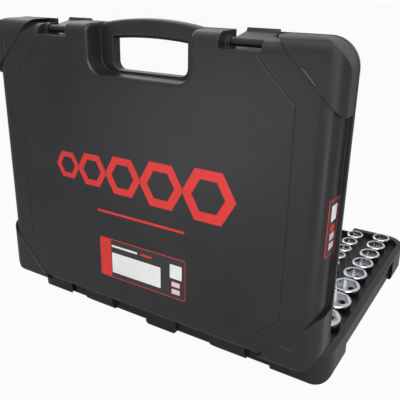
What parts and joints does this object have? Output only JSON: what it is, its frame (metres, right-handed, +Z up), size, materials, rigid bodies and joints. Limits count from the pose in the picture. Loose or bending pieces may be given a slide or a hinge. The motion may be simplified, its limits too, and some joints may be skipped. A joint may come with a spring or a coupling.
{
  "type": "socket wrench set in case",
  "caption": "Hinged moulded case with carrying handle and latches, standing open over a moulded insert that holds sockets, a ratchet, extension bars and handles.",
  "frame": {"origin": "centre of the base's flat underside", "axes": "+X along the case's width, -Y towards the handle side, +Y towards the hinges, +Z up"},
  "size_m": [0.47, 0.4011, 0.405],
  "materials": {
    "case": "moulded black plastic, fine texture",
    "latch": "moulded black plastic",
    "insert": "black blow-moulded plastic",
    "foam": "black foam",
    "pin": "plain steel",
    "chrome": "polished chrome plate",
    "lever": "black",
    "grip": "red and black grip"
  },
  "bodies": {
    "case_base": {"base_shell": "case", "socket_tray": "insert", "handle_tray": "insert", "deep_socket_tray": "insert", "hinge_pins": "pin"},
    "lid": {"lid_shell": "case", "lid_pad": "foam", "latch_pins": "pin"},
    "latch_left": {"latch_left": "latch"},
    "latch_right": {"latch_right": "latch"},
    "socket_19": {"socket_19": "chrome"},
    "socket_20": {"socket_20": "chrome"},
    "socket_21": {"socket_21": "chrome"},
    "socket_22": {"socket_22": "chrome"},
    "socket_24": {"socket_24": "chrome"},
    "socket_27": {"socket_27": "chrome"},
    "socket_30": {"socket_30": "chrome"},
    "socket_32": {"socket_32": "chrome"},
    "socket_18": {"socket_18": "chrome"},
    "socket_17": {"socket_17": "chrome"},
    "socket_16": {"socket_16": "chrome"},
    "socket_15": {"socket_15": "chrome"},
    "socket_14": {"socket_14": "chrome"},
    "socket_13": {"socket_13": "chrome"},
    "socket_12": {"socket_12": "chrome"},
    "socket_11": {"socket_11": "chrome"},
    "socket_10": {"socket_10": "chrome"},
    "small_socket_4": {"small_socket_4": "chrome"},
    "small_socket_5": {"small_socket_5": "chrome"},
    "small_socket_6": {"small_socket_6": "chrome"},
    "small_socket_7": {"small_socket_7": "chrome"},
    "small_socket_8": {"small_socket_8": "chrome"},
    "small_socket_9": {"small_socket_9": "chrome"},
    "small_socket_10": {"small_socket_10": "chrome"},
    "small_socket_11": {"small_socket_11": "chrome"},
    "small_socket_12": {"small_socket_12": "chrome"},
    "small_socket_13": {"small_socket_13": "chrome"},
    "deep_socket_10": {"deep_socket_10": "chrome"},
    "deep_socket_13": {"deep_socket_13": "chrome"},
    "deep_socket_14": {"deep_socket_14": "chrome"},
    "deep_socket_17": {"deep_socket_17": "chrome"},
    "deep_socket_19": {"deep_socket_19": "chrome"},
    "deep_socket_22": {"deep_socket_22": "chrome"},
    "spark_plug_socket_16": {"spark_plug_socket_16": "chrome"},
    "spark_plug_socket_21": {"spark_plug_socket_21": "chrome"},
    "long_extension": {"long_extension": "chrome"},
    "short_extension": {"short_extension": "chrome"},
    "t_handle_bar": {"t_handle_bar": "chrome"},
    "t_handle_head": {"t_handle_head": "chrome"},
    "spinner_handle": {"spinner_shaft": "chrome", "spinner_grip": "grip"},
    "ratchet": {"ratchet_body": "chrome", "ratchet_cover": "chrome", "ratchet_screws": "pin", "ratchet_grip": "grip"},
    "ratchet_drive": {"ratchet_drive": "chrome"},
    "ratchet_lever": {"ratchet_lever": "lever", "ratchet_pawl": "pin"}
  },
  "joints": [
    {"name": "lid_hinge", "type": "hinge", "parent": "case_base", "child": "lid", "pos_m": [0, 0.1796, 0.0425], "axis": [-1, 0, 0], "range_deg": [-87, 0]},
    {"name": "latch_left_pivot", "type": "hinge", "parent": "lid", "child": "latch_left", "pos_m": [-0.1265, 0.17849, 0.38852], "axis": [-1, 0, 0], "range_deg": [-12, 85]},
    {"name": "latch_right_pivot", "type": "hinge", "parent": "lid", "child": "latch_right", "pos_m": [0.1265, 0.17849, 0.38852], "axis": [-1, 0, 0], "range_deg": [-12, 85]},
    {"name": "socket_19_lift", "type": "slide", "parent": "case_base", "child": "socket_19", "axis": [0, 0, 1], "range_m": [0, 0.06]},
    {"name": "socket_20_lift", "type": "slide", "parent": "case_base", "child": "socket_20", "axis": [0, 0, 1], "range_m": [0, 0.06]},
    {"name": "socket_21_lift", "type": "slide", "parent": "case_base", "child": "socket_21", "axis": [0, 0, 1], "range_m": [0, 0.06]},
    {"name": "socket_22_lift", "type": "slide", "parent": "case_base", "child": "socket_22", "axis": [0, 0, 1], "range_m": [0, 0.06]},
    {"name": "socket_24_lift", "type": "slide", "parent": "case_base", "child": "socket_24", "axis": [0, 0, 1], "range_m": [0, 0.06]},
    {"name": "socket_27_lift", "type": "slide", "parent": "case_base", "child": "socket_27", "axis": [0, 0, 1], "range_m": [0, 0.06]},
    {"name": "socket_30_lift", "type": "slide", "parent": "case_base", "child": "socket_30", "axis": [0, 0, 1], "range_m": [0, 0.06]},
    {"name": "socket_32_lift", "type": "slide", "parent": "case_base", "child": "socket_32", "axis": [0, 0, 1], "range_m": [0, 0.06]},
    {"name": "socket_18_lift", "type": "slide", "parent": "case_base", "child": "socket_18", "axis": [0, 0, 1], "range_m": [0, 0.06]},
    {"name": "socket_17_lift", "type": "slide", "parent": "case_base", "child": "socket_17", "axis": [0, 0, 1], "range_m": [0, 0.06]},
    {"name": "socket_16_lift", "type": "slide", "parent": "case_base", "child": "socket_16", "axis": [0, 0, 1], "range_m": [0, 0.06]},
    {"name": "socket_15_lift", "type": "slide", "parent": "case_base", "child": "socket_15", "axis": [0, 0, 1], "range_m": [0, 0.06]},
    {"name": "socket_14_lift", "type": "slide", "parent": "case_base", "child": "socket_14", "axis": [0, 0, 1], "range_m": [0, 0.06]},
    {"name": "socket_13_lift", "type": "slide", "parent": "case_base", "child": "socket_13", "axis": [0, 0, 1], "range_m": [0, 0.06]},
    {"name": "socket_12_lift", "type": "slide", "parent": "case_base", "child": "socket_12", "axis": [0, 0, 1], "range_m": [0, 0.06]},
    {"name": "socket_11_lift", "type": "slide", "parent": "case_base", "child": "socket_11", "axis": [0, 0, 1], "range_m": [0, 0.06]},
    {"name": "socket_10_lift", "type": "slide", "parent": "case_base", "child": "socket_10", "axis": [0, 0, 1], "range_m": [0, 0.06]},
    {"name": "small_socket_4_lift", "type": "slide", "parent": "case_base", "child": "small_socket_4", "axis": [0, 0, 1], "range_m": [0, 0.06]},
    {"name": "small_socket_5_lift", "type": "slide", "parent": "case_base", "child": "small_socket_5", "axis": [0, 0, 1], "range_m": [0, 0.06]},
    {"name": "small_socket_6_lift", "type": "slide", "parent": "case_base", "child": "small_socket_6", "axis": [0, 0, 1], "range_m": [0, 0.06]},
    {"name": "small_socket_7_lift", "type": "slide", "parent": "case_base", "child": "small_socket_7", "axis": [0, 0, 1], "range_m": [0, 0.06]},
    {"name": "small_socket_8_lift", "type": "slide", "parent": "case_base", "child": "small_socket_8", "axis": [0, 0, 1], "range_m": [0, 0.06]},
    {"name": "small_socket_9_lift", "type": "slide", "parent": "case_base", "child": "small_socket_9", "axis": [0, 0, 1], "range_m": [0, 0.06]},
    {"name": "small_socket_10_lift", "type": "slide", "parent": "case_base", "child": "small_socket_10", "axis": [0, 0, 1], "range_m": [0, 0.06]},
    {"name": "small_socket_11_lift", "type": "slide", "parent": "case_base", "child": "small_socket_11", "axis": [0, 0, 1], "range_m": [0, 0.06]},
    {"name": "small_socket_12_lift", "type": "slide", "parent": "case_base", "child": "small_socket_12", "axis": [0, 0, 1], "range_m": [0, 0.06]},
    {"name": "small_socket_13_lift", "type": "slide", "parent": "case_base", "child": "small_socket_13", "axis": [0, 0, 1], "range_m": [0, 0.06]},
    {"name": "deep_socket_10_lift", "type": "slide", "parent": "case_base", "child": "deep_socket_10", "axis": [0, 0, 1], "range_m": [0, 0.06]},
    {"name": "deep_socket_13_lift", "type": "slide", "parent": "case_base", "child": "deep_socket_13", "axis": [0, 0, 1], "range_m": [0, 0.06]},
    {"name": "deep_socket_14_lift", "type": "slide", "parent": "case_base", "child": "deep_socket_14", "axis": [0, 0, 1], "range_m": [0, 0.06]},
    {"name": "deep_socket_17_lift", "type": "slide", "parent": "case_base", "child": "deep_socket_17", "axis": [0, 0, 1], "range_m": [0, 0.06]},
    {"name": "deep_socket_19_lift", "type": "slide", "parent": "case_base", "child": "deep_socket_19", "axis": [0, 0, 1], "range_m": [0, 0.06]},
    {"name": "deep_socket_22_lift", "type": "slide", "parent": "case_base", "child": "deep_socket_22", "axis": [0, 0, 1], "range_m": [0, 0.06]},
    {"name": "spark_plug_socket_16_lift", "type": "slide", "parent": "case_base", "child": "spark_plug_socket_16", "axis": [0, 0, 1], "range_m": [0, 0.06]},
    {"name": "spark_plug_socket_21_lift", "type": "slide", "parent": "case_base", "child": "spark_plug_socket_21", "axis": [0, 0, 1], "range_m": [0, 0.06]},
    {"name": "long_extension_lift", "type": "slide", "parent": "case_base", "child": "long_extension", "axis": [0, 0, 1], "range_m": [0, 0.06]},
    {"name": "short_extension_lift", "type": "slide", "parent": "case_base", "child": "short_extension", "axis": [0, 0, 1], "range_m": [0, 0.06]},
    {"name": "t_handle_bar_lift", "type": "slide", "parent": "case_base", "child": "t_handle_bar", "axis": [0, 0, 1], "range_m": [0, 0.06]},
    {"name": "t_head_slide", "type": "slide", "parent": "t_handle_bar", "child": "t_handle_head", "axis": [0, 1, 0], "range_m": [-0.104, 0.104]},
    {"name": "spinner_handle_lift", "type": "slide", "parent": "case_base", "child": "spinner_handle", "axis": [0, 0, 1], "range_m": [0, 0.06]},
    {"name": "ratchet_lift", "type": "slide", "parent": "case_base", "child": "ratchet", "axis": [0, 0, 1], "range_m": [0, 0.06]},
    {"name": "ratchet_drive_spin", "type": "hinge", "parent": "ratchet", "child": "ratchet_drive", "pos_m": [-0.121, 0.118, 0.034], "axis": [0, 0, 1], "continuous": true},
    {"name": "ratchet_lever_turn", "type": "hinge", "parent": "ratchet", "child": "ratchet_lever", "pos_m": [-0.121, 0.1008, 0.034], "axis": [0, 0, 1], "range_deg": [-18, 18]}
  ]
}
